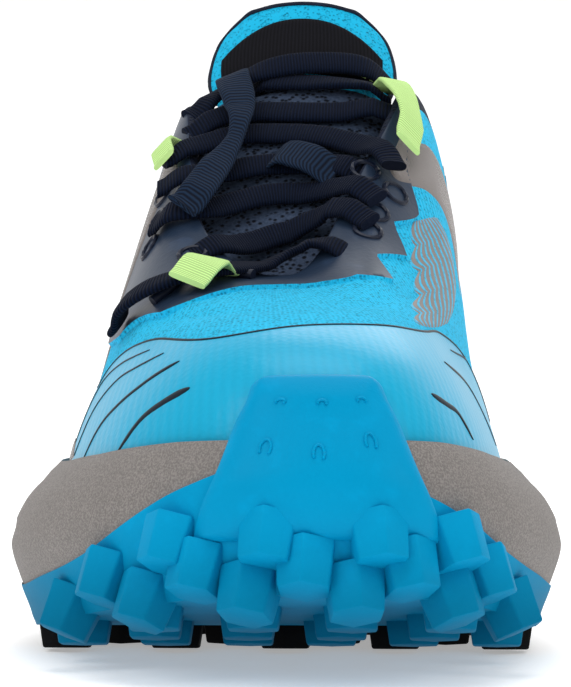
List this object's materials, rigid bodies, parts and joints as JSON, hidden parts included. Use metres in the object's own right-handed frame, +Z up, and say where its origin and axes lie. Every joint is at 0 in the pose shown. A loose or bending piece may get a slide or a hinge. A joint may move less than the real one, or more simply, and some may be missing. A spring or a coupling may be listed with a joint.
{
  "type": "trail running shoe",
  "caption": "Laced low-cut trail running shoe for the right foot, with a knit upper, foam midsole and lugged rubber outsole.",
  "frame": {"origin": "on the floor under the middle of the shoe's bounding box", "axes": "+Y from toe to heel, +Z up, +X towards the inner side of the foot"},
  "size_m": [0.1156, 0.304, 0.1408],
  "materials": {
    "upper": "engineered knit with smooth films, cyan",
    "foam": "matt speckled foam, taupe",
    "insole": "matt cloth-topped foam, navy",
    "rubber_blue": "satin rubber, blue",
    "rubber_black": "satin rubber, black",
    "tongue": "open knit, navy below and cyan at the top",
    "label": "smooth woven label, black",
    "webbing": "ribbed webbing, lime",
    "keeper": "herringbone tape, navy",
    "lace": "ribbed flat lace, navy"
  },
  "bodies": {
    "root": {"upper": "upper", "midsole": "foam", "insole": "insole", "outsole_front": "rubber_blue", "outsole_rear": "rubber_black", "tongue": "tongue", "tongue_label": "label", "loop_vamp": "webbing", "loop_left": "webbing", "loop_right": "webbing", "lace_keeper": "keeper", "lace_keeper_tail": "keeper", "lace_bottom": "lace", "lace_low": "lace", "lace_middle": "lace", "lace_return": "lace", "lace_wide": "lace", "lace_high": "lace", "lace_top": "lace"}
  },
  "joints": []
}
